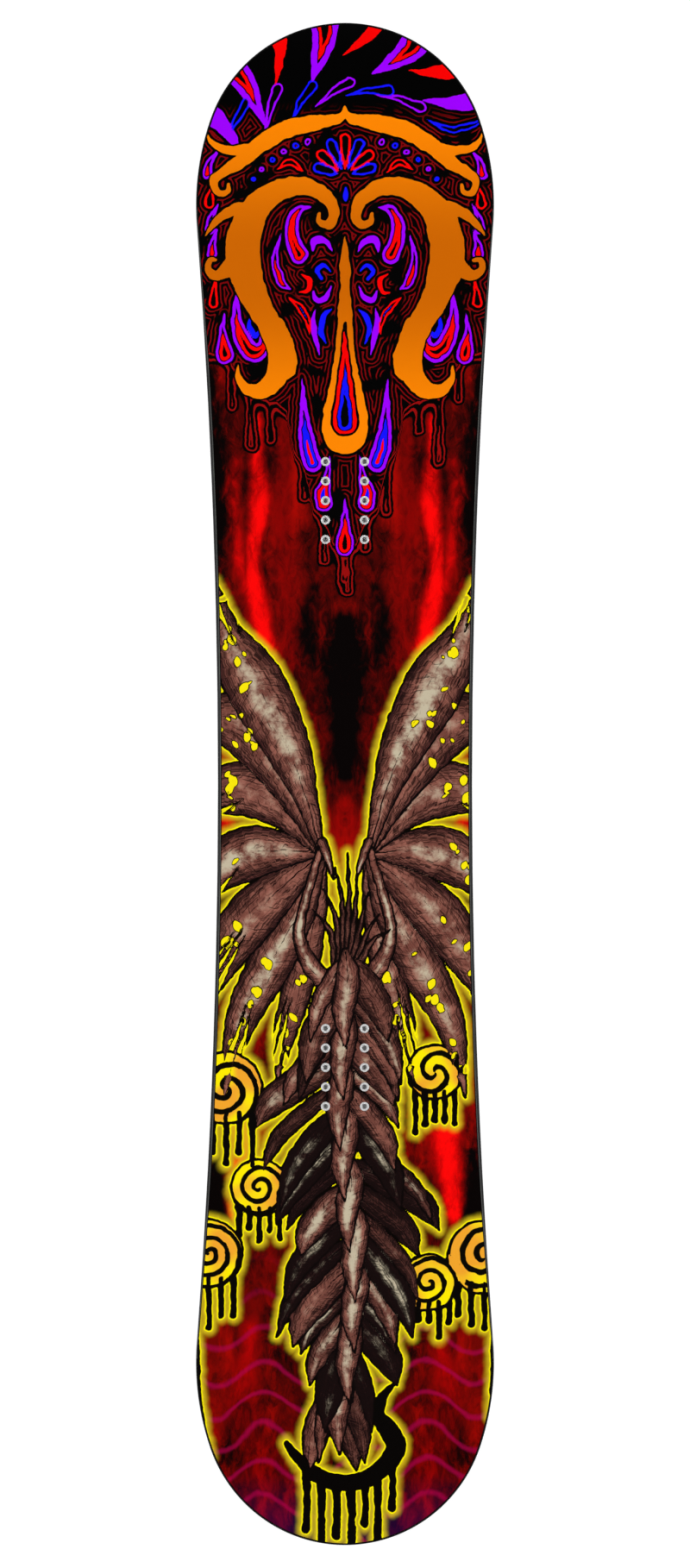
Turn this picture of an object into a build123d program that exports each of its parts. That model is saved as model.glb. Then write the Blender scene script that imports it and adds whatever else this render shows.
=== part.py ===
from build123d import *
import math
import os

# Snowboard deck: a true twin of sandwich construction. Millimetres, +Z up, nose towards +Y, right
# side towards +X. The origin is on the ground under the middle of the base.

# Plan outline
BOARD_LENGTH = 1560.0  # nose to tail, measured level
TIP_LENGTH = 186.0  # from the widest point to the end of the nose or tail
WAIST_WIDTH = 261.0
SIDECUT_DEPTH = 22.5  # how much narrower each side is at the waist than at the widest point
SHOULDER_RADIUS = 268.0  # the arc around each widest point

# Side profile
CONTACT_SETBACK = 19.0  # from the widest point back to where the base leaves the snow
KICK_RADIUS = 420.0  # the upward curve of nose and tail
FULL_CORE_MARGIN = 4.0  # from a retention mat to where the core starts to thin

# Layer thicknesses, from the snow upwards
BASE_THICKNESS = 1.2
TINE_THICKNESS = 0.6
FOIL_THICKNESS = 0.2
GLASS_THICKNESS = 0.6
CORE_THICKNESS_MIDDLE = 6.4
CORE_THICKNESS_TIP = 2.0
TOPSHEET_THICKNESS = 0.5

# Steel edges
EDGE_WIDTH = 2.2  # the bar that shows beside the base
TINE_WIDTH = 6.0  # the flange that reaches in over the base

# Sidewalls and tip spacers
SIDEWALL_WIDTH = 8.0
SPACER_LENGTH = 190.0  # from the tip to where the spacer meets the sidewalls
BEVEL_START = 3.2  # height above the snow where the sidewall starts to lean in
BEVEL_ANGLE = 23.5  # degrees from upright
SPACER_BEVEL_DEPTH = 1.2
SPACER_BEVEL_LIMIT = 0.6  # most of a spacer's thickness that its bevel may take

# Core
CORE_END_SETBACK = 180.0  # from the tip back to the crown of the core's end
CORE_END_RADIUS = 230.0
STRINGER_WIDTH = 24.0

# Binding inserts and the mats under them
STANCE_WIDTH = 582.0  # between the middles of the two packs
INSERT_COLUMN_SPACING = 40.0
INSERT_ROW_SPACING = 20.0
INSERT_ROWS = 5
BARREL_RADIUS = 4.7
FLANGE_GAP = 3.0  # free space between the flanges of neighbouring inserts
FLANGE_THICKNESS = 1.0
THREAD_RADIUS = 2.5  # the bore of an M6 thread
INSERT_FLOOR = 1.0  # closes the thread below, so that no resin gets in
MAT_THICKNESS = 0.4
MAT_MARGIN = 15.0  # from an insert's axis to the edge of its mat

# Workshop values: spare room around the deck, and what counts as touching
MARGIN = 20.0
TOUCH = 0.01

# Plan outline: sidecut, shoulder and tip are arcs that run into each other without a corner
half_length = BOARD_LENGTH / 2
half_waist = WAIST_WIDTH / 2
half_widest = half_waist + SIDECUT_DEPTH
widest_station = half_length - TIP_LENGTH
shoulder_x = half_widest - SHOULDER_RADIUS
sidecut_radius = (widest_station**2 + SIDECUT_DEPTH**2) / (2 * SIDECUT_DEPTH) - SHOULDER_RADIUS
sidecut_x = half_waist + sidecut_radius
tip_radius = (SHOULDER_RADIUS**2 - shoulder_x**2 - TIP_LENGTH**2) / (2 * (SHOULDER_RADIUS - TIP_LENGTH))
tip_y = half_length - tip_radius
shoulder_start = -math.degrees(math.atan2(widest_station, sidecut_x - shoulder_x))
shoulder_end = math.degrees(math.atan2(tip_y - widest_station, -shoulder_x))

# Heights above the base line
tine_top = BASE_THICKNESS + TINE_THICKNESS
foil_top = tine_top + FOIL_THICKNESS
core_bottom = foil_top + GLASS_THICKNESS
core_top_middle = core_bottom + CORE_THICKNESS_MIDDLE
core_top_tip = core_bottom + CORE_THICKNESS_TIP
skin_thickness = GLASS_THICKNESS + TOPSHEET_THICKNESS
deck_top = core_top_middle + skin_thickness
flange_bottom = core_bottom + MAT_THICKNESS

# Inserts and mats
flange_radius = (INSERT_ROW_SPACING - FLANGE_GAP) / 2
mat_width = INSERT_COLUMN_SPACING + 2 * MAT_MARGIN
mat_length = (INSERT_ROWS - 1) * INSERT_ROW_SPACING + 2 * MAT_MARGIN

# Stations along the deck, from its middle
contact_station = widest_station - CONTACT_SETBACK
full_core_station = STANCE_WIDTH / 2 + mat_length / 2 + FULL_CORE_MARGIN
sidewall_station = half_length - SPACER_LENGTH
core_station = half_length - CORE_END_SETBACK
reach = half_length + MARGIN

# Stringers: the first one on each side is centred on a column of inserts, the last one fills the rest
centre_stringer_half = (INSERT_COLUMN_SPACING - STRINGER_WIDTH) / 2
stringer_room = half_waist - SIDEWALL_WIDTH - centre_stringer_half
stringers_per_side = round(stringer_room / STRINGER_WIDTH)

STANDING = (Align.CENTER, Align.CENTER, Align.MIN)


def kick_rise(station):
    """How far the base has curved up at a distance from the middle."""
    return KICK_RADIUS - math.sqrt(KICK_RADIUS**2 - (station - contact_station) ** 2)


ceiling = kick_rise(reach) + deck_top + MARGIN


def outline(inset):
    """The plan outline as a face, moved inwards by inset all round."""
    sidecut_centre = Vector(sidecut_x, 0)
    shoulder_centre = Vector(shoulder_x, widest_station)
    sidecut = CenterArc(sidecut_centre, sidecut_radius + inset, 180 + shoulder_start, -2 * shoulder_start)
    shoulder_turn = shoulder_end - shoulder_start
    shoulder = CenterArc(shoulder_centre, SHOULDER_RADIUS - inset, shoulder_start, shoulder_turn)
    tip = CenterArc(Vector(0, tip_y), tip_radius - inset, shoulder_end, 180 - 2 * shoulder_end)
    right = [shoulder, shoulder.mirror(Plane.XZ), sidecut]
    left = [edge.mirror(Plane.YZ) for edge in right]
    return Face(Wire(right + left + [tip, tip.mirror(Plane.XZ)]))


def prism(face):
    """A face of the plan, as a block that passes through the whole deck."""
    return Pos(0, 0, -MARGIN) * extrude(face, MARGIN + ceiling, dir=(0, 0, 1))


def band(near, far, left=-reach, right=reach):
    """A block over the plan from y near to y far and from x left to x right."""
    block = Box(right - left, far - near, MARGIN + ceiling, align=Align.MIN)
    return Pos(left, near, -MARGIN) * block


def middle_zone():
    """The stretch between the tip spacers."""
    return band(-sidewall_station, sidewall_station)


def side_zone(side):
    """The right (1) or left (-1) half of the middle zone."""
    return band(-sidewall_station, sidewall_station, min(0, side * reach), max(0, side * reach))


def end_zone(end, near):
    """The nose (1) or tail (-1), outwards from near."""
    return band(min(end * near, end * reach), max(end * near, end * reach))


def kick(height, end):
    """The upward arc at the nose (end 1) or the tail (end -1), from the contact point outwards."""
    halfway = (contact_station + reach) / 2
    start = (0, end * contact_station, height)
    middle = (0, end * halfway, height + kick_rise(halfway))
    finish = (0, end * reach, height + kick_rise(reach))
    return ThreePointArc(start, middle, finish)


def level_line(height):
    """A layer boundary that stays parallel to the base."""
    flat = Line((0, -contact_station, height), (0, contact_station, height))
    return [kick(height, -1), flat, kick(height, 1)]


def core_line(lift):
    """The top of the core, raised by lift: level in the middle, thinner towards the tips."""
    high = core_top_middle + lift
    low = core_top_tip + lift
    run = contact_station - full_core_station
    blend_radius = (run**2 + (high - low) ** 2) / (4 * (high - low))
    quarter_drop = blend_radius - math.sqrt(blend_radius**2 - run**2 / 16)
    edges = [Line((0, -full_core_station, high), (0, full_core_station, high))]
    for end in (-1, 1):
        start = (0, end * full_core_station, high)
        high_bend = (0, end * (full_core_station + run / 4), high - quarter_drop)
        middle = (0, end * (full_core_station + run / 2), (high + low) / 2)
        low_bend = (0, end * (contact_station - run / 4), low + quarter_drop)
        finish = (0, end * contact_station, low)
        edges.append(ThreePointArc(start, high_bend, middle))
        edges.append(ThreePointArc(middle, low_bend, finish))
        edges.append(kick(low, end))
    return edges


def end_of(edges, end):
    """The outermost point of a layer boundary, at the nose (1) or the tail (-1)."""
    points = [edge @ place for edge in edges for place in (0, 1)]
    return max(points, key=lambda point: end * point.Y)


def slab(lower, upper):
    """Everything between two layer boundaries, across the whole width."""
    closers = [Line(end_of(lower, end), end_of(upper, end)) for end in (-1, 1)]
    half_width = half_widest + MARGIN
    side = Face(Wire(lower + upper + closers))
    return Pos(-half_width, 0, 0) * extrude(side, 2 * half_width, dir=(1, 0, 0))


def at_inserts(pack, shape):
    """A copy of shape on the axis of each insert of the front (1) or rear (-1) pack."""
    spots = GridLocations(INSERT_COLUMN_SPACING, INSERT_ROW_SPACING, 2, INSERT_ROWS)
    return [Pos(0, pack * STANCE_WIDTH / 2) * spot * shape for spot in spots]


def post(radius, bottom, top):
    """An upright cylinder on the Z axis."""
    return Pos(0, 0, bottom) * Cylinder(radius, top - bottom, align=STANDING)


def barrel_holes():
    hole = post(BARREL_RADIUS, 0, ceiling)
    return at_inserts(1, hole) + at_inserts(-1, hole)


def insert_pack(pack):
    """Ten blind threaded inserts: a flange under the core and a barrel flush with the topsheet."""
    flange = post(flange_radius, flange_bottom, flange_bottom + FLANGE_THICKNESS)
    barrel = post(BARREL_RADIUS, flange_bottom, deck_top)
    bore = post(THREAD_RADIUS, flange_bottom + INSERT_FLOOR, deck_top)
    return Compound(at_inserts(pack, flange + barrel - bore))


def retention_mat(pack):
    """The mat between a pack's flanges and the lower glass."""
    mat = Box(mat_width, mat_length, MAT_THICKNESS, align=STANDING)
    return Pos(0, pack * STANCE_WIDTH / 2, core_bottom) * mat


def running_base():
    return slab(level_line(0), level_line(BASE_THICKNESS)) & prism(outline(EDGE_WIDTH))


def tine_ring():
    """The plan of the steel edges' tines."""
    return prism(outline(EDGE_WIDTH)) - prism(outline(EDGE_WIDTH + TINE_WIDTH))


def edge_ring():
    """The steel edge all round, before it is parted where sidewalls and tip spacers meet."""
    bar_ring = prism(outline(0)) - prism(outline(EDGE_WIDTH))
    bar = slab(level_line(0), level_line(foil_top)) & bar_ring
    tines = slab(level_line(BASE_THICKNESS), level_line(tine_top)) & tine_ring()
    return bar + tines


def foil_ring():
    """The damping foil all round, before it is parted like the steel edge."""
    return slab(level_line(tine_top), level_line(foil_top)) & tine_ring()


def lower_glass_mat():
    """The glass layer over the edges, with the thicker middle that fills between the tines."""
    between_tines = prism(outline(EDGE_WIDTH + TINE_WIDTH))
    filling = slab(level_line(BASE_THICKNESS), level_line(foil_top)) & between_tines
    sheet = slab(level_line(foil_top), level_line(core_bottom)) & prism(outline(0))
    return filling + sheet


def core_slab():
    return slab(level_line(core_bottom), core_line(0))


def core_plan():
    """The block that holds the core: inside the sidewalls, with rounded ends."""
    corner_y = core_station - CORE_END_RADIUS + math.sqrt(CORE_END_RADIUS**2 - half_widest**2)
    right = Line((half_widest, corner_y), (half_widest, -corner_y))
    left = Line((-half_widest, -corner_y), (-half_widest, corner_y))
    nose_end = ThreePointArc(left @ 1, (0, core_station), right @ 0)
    tail_end = ThreePointArc(right @ 1, (0, -core_station), left @ 0)
    return prism(Face(Wire([right, tail_end, left, nose_end]))) & prism(outline(SIDEWALL_WIDTH))


def core_cuts():
    """What the core leaves free: insert barrels, their flanges and the retention mats."""
    pocket = post(flange_radius, flange_bottom, flange_bottom + FLANGE_THICKNESS)
    pockets = at_inserts(1, pocket) + at_inserts(-1, pocket)
    return barrel_holes() + pockets + [retention_mat(1), retention_mat(-1)]


def stringers():
    """Name and solid of each wood stringer."""
    core = (core_slab() & core_plan()) - core_cuts()
    centre = band(-reach, reach, -centre_stringer_half, centre_stringer_half)
    pieces = [("core_stringer_centre", core & centre)]
    for number in range(1, stringers_per_side + 1):
        near = centre_stringer_half + (number - 1) * STRINGER_WIDTH
        far = near + STRINGER_WIDTH if number < stringers_per_side else reach
        pieces.append((f"core_stringer_right_{number}", core & band(-reach, reach, near, far)))
        pieces.append((f"core_stringer_left_{number}", core & band(-reach, reach, -far, -near)))
    return pieces


def bevelled_block():
    """The middle zone inside the leaning faces of the sidewalls."""
    upright = Pos(0, 0, -MARGIN) * extrude(outline(0), MARGIN + BEVEL_START, dir=(0, 0, 1))
    leaning = Pos(0, 0, BEVEL_START) * extrude(outline(0), deck_top, dir=(0, 0, 1), taper=BEVEL_ANGLE)
    return (upright + leaning) & middle_zone()


def bevel_inset(height):
    """How far the bevel has leaned in at a height over the base, where sidewall and spacer meet."""
    return (height + kick_rise(sidewall_station) - BEVEL_START) * math.tan(math.radians(BEVEL_ANGLE))


def tip_spacer(end):
    """The spacer of the nose (1) or tail (-1): all that sidewalls and core leave free, bevelled."""
    plan = (prism(outline(0)) - middle_zone()) + prism(outline(SIDEWALL_WIDTH)) - core_plan()
    spacer = core_slab() & plan & end_zone(end, 0)
    depth = min(SPACER_BEVEL_DEPTH, SPACER_BEVEL_LIMIT * CORE_THICKNESS_TIP)
    return bevel_rim(spacer, bevel_inset(core_top_tip), depth)


def bevel_rim(spacer, inset, depth):
    """Bevel the edges where a spacer's top meets the outline."""
    top = max(spacer.faces().sort_by(SortBy.AREA)[-2:], key=lambda face: face.center().Z)
    rim = outline(0).outer_wire()
    outer = [edge for edge in top.edges() if rim.distance_to(plan_point(edge @ 0.5)) < TOUCH]
    return chamfer(outer, inset, depth, reference=top)


def plan_point(point):
    return Vertex(point.X, point.Y, 0)


def upper_layer(bottom, top):
    """A layer over the core, from bottom to top above it, with holes for the insert barrels."""
    tips = prism(outline(bevel_inset(core_top_tip + skin_thickness))) - middle_zone()
    sheet = slab(core_line(bottom), core_line(top)) & (bevelled_block() + tips)
    return sheet - barrel_holes()


def export(name, shape):
    solids = shape.solids()
    piece = solids[0] if len(solids) == 1 else Compound(solids)
    export_step(piece, os.path.join("parts", name + ".step"))
    print(name, len(solids), round(piece.volume))


def main():
    os.makedirs("parts", exist_ok=True)
    export("running_base", running_base())
    export("lower_glass_mat", lower_glass_mat())
    walls = (core_slab() & bevelled_block()) - prism(outline(SIDEWALL_WIDTH))
    zones = {"right": side_zone(1), "left": side_zone(-1)}
    for name, zone in zones.items():
        export("sidewall_" + name, walls & zone)
    zones.update(nose=end_zone(1, sidewall_station), tail=end_zone(-1, sidewall_station))
    edges = edge_ring()
    foils = foil_ring()
    for name, zone in zones.items():
        export("steel_edge_" + name, edges & zone)
        export("damping_foil_" + name, foils & zone)
    for name, end in (("nose", 1), ("tail", -1)):
        export(name + "_spacer", tip_spacer(end))
    for name, stringer in stringers():
        export(name, stringer)
    export("upper_glass_mat", upper_layer(0, GLASS_THICKNESS))
    export("topsheet", upper_layer(GLASS_THICKNESS, skin_thickness))
    for name, pack in (("front", 1), ("rear", -1)):
        export("insert_retention_mat_" + name, retention_mat(pack))
        export("inserts_" + name, insert_pack(pack))


main()
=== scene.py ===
"""Looks of the snowboard deck: finishes for the CAD layers, a printed topsheet and threaded inserts."""

import math

import bmesh
import bpy
import numpy as np
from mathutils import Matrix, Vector


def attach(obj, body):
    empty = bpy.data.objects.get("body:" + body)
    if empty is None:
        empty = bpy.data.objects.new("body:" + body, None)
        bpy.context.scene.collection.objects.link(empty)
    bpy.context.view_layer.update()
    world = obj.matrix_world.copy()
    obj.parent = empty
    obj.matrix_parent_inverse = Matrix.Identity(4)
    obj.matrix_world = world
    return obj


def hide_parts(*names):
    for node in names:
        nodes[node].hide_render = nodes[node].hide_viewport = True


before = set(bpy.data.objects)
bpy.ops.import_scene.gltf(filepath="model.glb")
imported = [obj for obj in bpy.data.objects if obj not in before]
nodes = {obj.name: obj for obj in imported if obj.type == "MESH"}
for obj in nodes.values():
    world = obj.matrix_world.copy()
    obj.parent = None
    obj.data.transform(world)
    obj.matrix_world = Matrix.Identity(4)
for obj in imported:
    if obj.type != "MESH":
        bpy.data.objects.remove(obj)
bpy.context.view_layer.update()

MM = 0.001  # the deck's sizes are in millimetres, lamps and shaders in metres
FAR = 1e3  # the distance where no stroke is near

# The deck's own sizes, as in the CAD part
HALF_LENGTH = 780.0
HALF_WAIST = 130.5
SIDECUT_DEPTH = 22.5
WIDEST_STATION = 594.0
SHOULDER_RADIUS = 268.0
TIP_LENGTH = 186.0
SHOULDER_X = HALF_WAIST + SIDECUT_DEPTH - SHOULDER_RADIUS
SIDECUT_RADIUS = (WIDEST_STATION**2 + SIDECUT_DEPTH**2) / (2 * SIDECUT_DEPTH) - SHOULDER_RADIUS
SIDECUT_X = HALF_WAIST + SIDECUT_RADIUS
TIP_RADIUS = (SHOULDER_RADIUS**2 - SHOULDER_X**2 - TIP_LENGTH**2) / (2 * (SHOULDER_RADIUS - TIP_LENGTH))
TIP_Y = HALF_LENGTH - TIP_RADIUS
CONTACT_STATION = 575.0
FULL_CORE_STATION = 350.0
SIDEWALL_STATION = 590.0
KICK_RADIUS = 420.0
DECK_TOP = 10.1
TIP_TOP = 5.7
SHEET_THICKNESS = 0.5
BEVEL_START = 3.2
BEVEL_SLOPE = math.tan(math.radians(23.5))
BARREL_RADIUS = 4.7
INSERT_STATION = 291.0
INSERT_COLUMN = 20.0
INSERT_PITCH = 20.0


# ---- camera and light
SENSOR = 36.0
LENS = 600.0
VIEW_HEIGHT = 1608.5  # millimetres of the deck's plane that the picture's height takes in
CAMERA_PLANE = 30.0  # height of that plane

camera = bpy.data.objects.new("camera", bpy.data.cameras.new("camera"))
bpy.context.scene.collection.objects.link(camera)
camera.data.sensor_width = SENSOR
camera.data.lens = LENS
camera.location = (0.0, 0.0, (VIEW_HEIGHT * LENS / SENSOR + CAMERA_PLANE) * MM)
camera.data.clip_start = 1.0
camera.data.clip_end = 100.0
bpy.context.scene.camera = camera

scene = bpy.context.scene
scene.view_settings.view_transform = "Standard"
scene.view_settings.look = "None"


def softbox(name, place, size, power):
    """A rectangular light that looks at the middle of the deck."""
    light = bpy.data.lights.new(name, "AREA")
    light.shape = "RECTANGLE"
    light.size, light.size_y = size
    light.energy = power
    lamp = bpy.data.objects.new(name, light)
    scene.collection.objects.link(lamp)
    lamp.location = place
    lamp.rotation_mode = "QUATERNION"
    lamp.rotation_quaternion = Vector(place).to_track_quat("Z", "Y")


softbox("softbox_right", (5.5, 0.0, 5.0), (3.0, 5.0), 420)
softbox("softbox_left", (-5.5, 0.0, 5.0), (3.0, 5.0), 420)
softbox("softbox_back", (0.0, 7.5, 1.8), (4.0, 1.6), 70)
softbox("softbox_front", (0.0, -7.5, 1.8), (4.0, 1.6), 70)

# The studio's walls are grey and its ceiling nearly black, so that black print stays black from above
WALL_STRENGTH = 0.1
CEILING_STRENGTH = 0.02
WALL_END = 0.24  # sines of the angles over the horizon where walls end and ceiling starts
CEILING_START = 0.34

world = bpy.data.worlds.new("studio")
scene.world = world
world.use_nodes = True
sky = world.node_tree
backdrop = sky.nodes["Background"]
heading = sky.nodes.new("ShaderNodeTexCoord")
parts = sky.nodes.new("ShaderNodeSeparateXYZ")
fall = sky.nodes.new("ShaderNodeMapRange")
for socket, value in zip(fall.inputs[1:], (WALL_END, CEILING_START, WALL_STRENGTH, CEILING_STRENGTH)):
    socket.default_value = value
sky.links.new(heading.outputs["Generated"], parts.inputs[0])
sky.links.new(parts.outputs["Z"], fall.inputs["Value"])
sky.links.new(fall.outputs["Result"], backdrop.inputs["Strength"])
backdrop.inputs["Color"].default_value = (1.0, 1.0, 1.0, 1.0)


# ---- materials
def ink(red, green, blue):
    """A printed colour given as 0 to 255 per channel, as the shader's linear colour."""
    return tuple(
        c / 12.92 if c <= 0.04045 else ((c + 0.055) / 1.055) ** 2.4
        for c in (red / 255, green / 255, blue / 255)
    ) + (1.0,)


class Shader:
    """A material's node tree, built by chaining values. A value is a number, a colour or a node's output."""

    def __init__(self, name):
        self.material = bpy.data.materials.new(name)
        self.material.use_nodes = True
        self.tree = self.material.node_tree
        self.surface = self.tree.nodes["Principled BSDF"]
        self.known = {}

    def node(self, kind, **settings):
        made = self.tree.nodes.new("ShaderNode" + kind)
        for name, value in settings.items():
            setattr(made, name, value)
        return made

    def put(self, socket, value):
        if isinstance(value, bpy.types.NodeSocket):
            self.tree.links.new(value, socket)
        elif value is not None:
            socket.default_value = value

    def feed(self, made, *values):
        """Puts values into a node's sockets in their order, and gives its first output."""
        for socket, value in zip(made.inputs, values):
            self.put(socket, value)
        return made.outputs[0]

    def set(self, **values):
        """Sets the surface's own sockets, such as base_color or roughness."""
        for name, value in values.items():
            self.put(self.surface.inputs[name.replace("_", " ").title().replace("Ior", "IOR")], value)

    def math(self, operation, a, b=None):
        return self.feed(self.node("Math", operation=operation), a, b)

    def times(self, a, b):
        return self.math("MULTIPLY", a, b)

    def plus(self, a, b):
        return self.math("ADD", a, b)

    def minus(self, a, b):
        return self.math("SUBTRACT", a, b)

    def attribute(self, name):
        if name not in self.known:
            self.known[name] = self.node("Attribute", attribute_name=name).outputs["Fac"]
        return self.known[name]

    def fade(self, value, start, end):
        """0 before start and 1 after end, or the other way round where start is above end."""
        made = self.node("MapRange", interpolation_type="SMOOTHSTEP")
        if start > end:
            return self.feed(made, value, end, start, 1.0, 0.0)
        return self.feed(made, value, start, end, 0.0, 1.0)

    def band(self, value, low, high, soft=0.12):
        """1 between low and high."""
        rising = self.fade(value, low - soft, low + soft)
        return self.times(rising, self.fade(value, high + soft, high - soft))

    def inside(self, value, edge=0.0, soft=0.15):
        """1 where a signed distance is below edge."""
        return self.fade(value, edge + soft, edge - soft)

    def tint(self, name):
        return self.node("Attribute", attribute_name=name).outputs["Color"]

    def stretch(self, value, low, high, to_low, to_high):
        return self.feed(self.node("MapRange"), value, low, high, to_low, to_high)

    def blend(self, share, under, over):
        made = self.node("Mix", data_type="RGBA")
        self.put(made.inputs[0], share)
        self.put(made.inputs[6], under)
        self.put(made.inputs[7], over)
        return made.outputs[2]

    def place(self):
        """Position in the shared frame."""
        if "place" not in self.known:
            self.known["place"] = self.node("TexCoord").outputs["Object"]
        return self.known["place"]

    def axes(self, vector):
        made = self.node("SeparateXYZ")
        self.feed(made, vector)
        return made.outputs

    def vector(self, x, y, z=0.0):
        return self.feed(self.node("CombineXYZ"), x, y, z)

    def noise(self, vector, scale, detail=3.0, roughness=0.55, distortion=0.0):
        """Noise with one scale, or with one for each axis."""
        if isinstance(scale, tuple):
            mapping = self.node("Mapping")
            mapping.inputs["Scale"].default_value = scale
            vector, scale = self.feed(mapping, vector), 1.0
        made = self.node("TexNoise")
        self.put(made.inputs["Vector"], vector)
        made.inputs["Scale"].default_value = scale
        made.inputs["Detail"].default_value = detail
        made.inputs["Roughness"].default_value = roughness
        made.inputs["Distortion"].default_value = distortion
        return made.outputs[0]

    def bump(self, height, strength, distance):
        made = self.node("Bump")
        made.inputs["Strength"].default_value = strength
        made.inputs["Distance"].default_value = distance
        self.put(made.inputs["Height"], height)
        self.put(self.surface.inputs["Normal"], made.outputs[0])


def dress(material, *names):
    """Gives carried-over CAD nodes a material."""
    for name in names:
        slots = nodes[name].data.materials
        slots.clear()
        slots.append(material)


# ---- shape of the deck
def half_width(station, inset):
    """Half the plan's width at a station, for the outline moved inwards by inset."""
    s = np.abs(station)
    reach = SHOULDER_RADIUS - inset
    low = WIDEST_STATION - reach * WIDEST_STATION / math.hypot(WIDEST_STATION, SIDECUT_X - SHOULDER_X)
    rise = TIP_Y - WIDEST_STATION
    high = WIDEST_STATION + reach * rise / math.hypot(rise, SHOULDER_X)
    side = SIDECUT_X - np.sqrt((SIDECUT_RADIUS + inset) ** 2 - s**2)
    shoulder = SHOULDER_X + np.sqrt(np.maximum(reach**2 - (s - WIDEST_STATION) ** 2, 0))
    tip = np.sqrt(np.maximum((TIP_RADIUS - inset) ** 2 - (s - TIP_Y) ** 2, 0))
    return np.where(s < low, side, np.where(s < high, shoulder, tip))


def kick_rise(station):
    """How far the kick has lifted the deck at a station."""
    out = np.maximum(np.abs(station) - CONTACT_STATION, 0)
    return KICK_RADIUS - np.sqrt(KICK_RADIUS**2 - out**2)


def deck_height(station):
    """Height of the printed surface: level, then two arcs down to the thinner tips, then the kick."""
    run = CONTACT_STATION - FULL_CORE_STATION
    drop = DECK_TOP - TIP_TOP
    radius = (run**2 + drop**2) / (4 * drop)
    out = np.clip(np.abs(station) - FULL_CORE_STATION, 0, run)
    falling = radius - np.sqrt(radius**2 - out**2)
    landing = drop - (radius - np.sqrt(radius**2 - (run - out) ** 2))
    return DECK_TOP - np.where(out < run / 2, falling, landing) + kick_rise(station)


def wall_inset(station, height):
    """How far the deck's side has leaned in at a height; nose and tail have upright sides."""
    tip_inset = (TIP_TOP + kick_rise(SIDEWALL_STATION) - BEVEL_START) * BEVEL_SLOPE
    return np.where(np.abs(station) < SIDEWALL_STATION, (height - BEVEL_START) * BEVEL_SLOPE, tip_inset)


# ---- topsheet
GRID = 1.5  # spacing of the printed surface's vertices
TIP_ROWS_FROM = 700.0  # where the rows start to follow the tip's arc
ROUNDING = 0.12  # of the sheet's upper rim
LAST_HALF_WIDTH = 2.0  # nose and tail end in a cut this wide on each side
SHARP_ANGLE = 35.0  # degrees; flatter edges are shaded smooth
CUTTER_SEGMENTS = 48
CUTTER_LENGTH = 20.0


def stations():
    """The rows of the topsheet's mesh, closer together where the outline closes."""
    straight = np.linspace(0, TIP_ROWS_FROM, round(TIP_ROWS_FROM / GRID) + 1)
    inset = wall_inset(HALF_LENGTH, 0.0)
    reach = TIP_RADIUS - inset
    start = math.asin((TIP_ROWS_FROM - TIP_Y) / reach)
    end = math.acos(LAST_HALF_WIDTH / reach)
    turn = np.linspace(start, end, round((end - start) * reach / GRID) + 1)[1:]
    half = np.concatenate([straight, TIP_Y + reach * np.sin(turn)])
    return np.concatenate([-half[:0:-1], half])


def read(elements, name, width=1, kind=float):
    """One property of every vertex, corner or face as an array."""
    values = np.zeros(len(elements) * width, kind)
    elements.foreach_get(name, values)
    return values.reshape(-1, width) if width > 1 else values


def store(mesh, name, values, kind="FLOAT", socket="value"):
    """Keeps a number, or a colour, for every vertex."""
    layer = mesh.attributes.new(name, kind, "POINT")
    layer.data.foreach_set(socket, values.ravel().astype(np.float32))


def mesh_object(name, vertices, faces, smooth_angle=SHARP_ANGLE):
    """An object made from vertices in millimetres."""
    mesh = bpy.data.meshes.new(name)
    mesh.from_pydata(np.asarray(vertices) * MM, [], faces)
    mesh.validate()
    made = bpy.data.objects.new(name, mesh)
    scene.collection.objects.link(made)
    smooth(mesh, smooth_angle)
    return made


def smooth(mesh, angle):
    mesh.polygons.foreach_set("use_smooth", np.ones(len(mesh.polygons), bool))
    mesh.set_sharp_from_angle(angle=math.radians(angle))


def topsheet_mesh():
    """The sheet as rows of one section: its two rims and a flat top between them."""
    y = stations()
    top = deck_height(y)
    bottom = top - SHEET_THICKNESS
    rim = half_width(y, wall_inset(y, top))
    foot = half_width(y, wall_inset(y, bottom))
    across = np.linspace(-1, 1, 2 * round(rim.max() / GRID) + 1)
    left = [(-foot, bottom), (-rim, top - ROUNDING)]
    inner = [((rim - ROUNDING) * place, top) for place in across]
    right = [(rim, top - ROUNDING), (foot, bottom)]
    section = left + inner + right
    vertices = np.stack([np.stack([x, y, z], 1) for x, z in section], 1).reshape(-1, 3)
    count = len(section)
    faces = []
    for row in range(len(y) - 1):
        here = row * count
        above = here + count
        for i in range(count):
            j = (i + 1) % count
            faces.append((here + i, here + j, above + j, above + i))
    faces.append(tuple(range(count))[::-1])
    faces.append(tuple(range((len(y) - 1) * count, len(y) * count)))
    return vertices, faces


def insert_spots():
    """The end, x and y of every insert."""
    for end in (1, -1):
        for row in range(-2, 3):
            for side in (-1, 1):
                yield end, side * INSERT_COLUMN, end * INSERT_STATION + row * INSERT_PITCH


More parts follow.
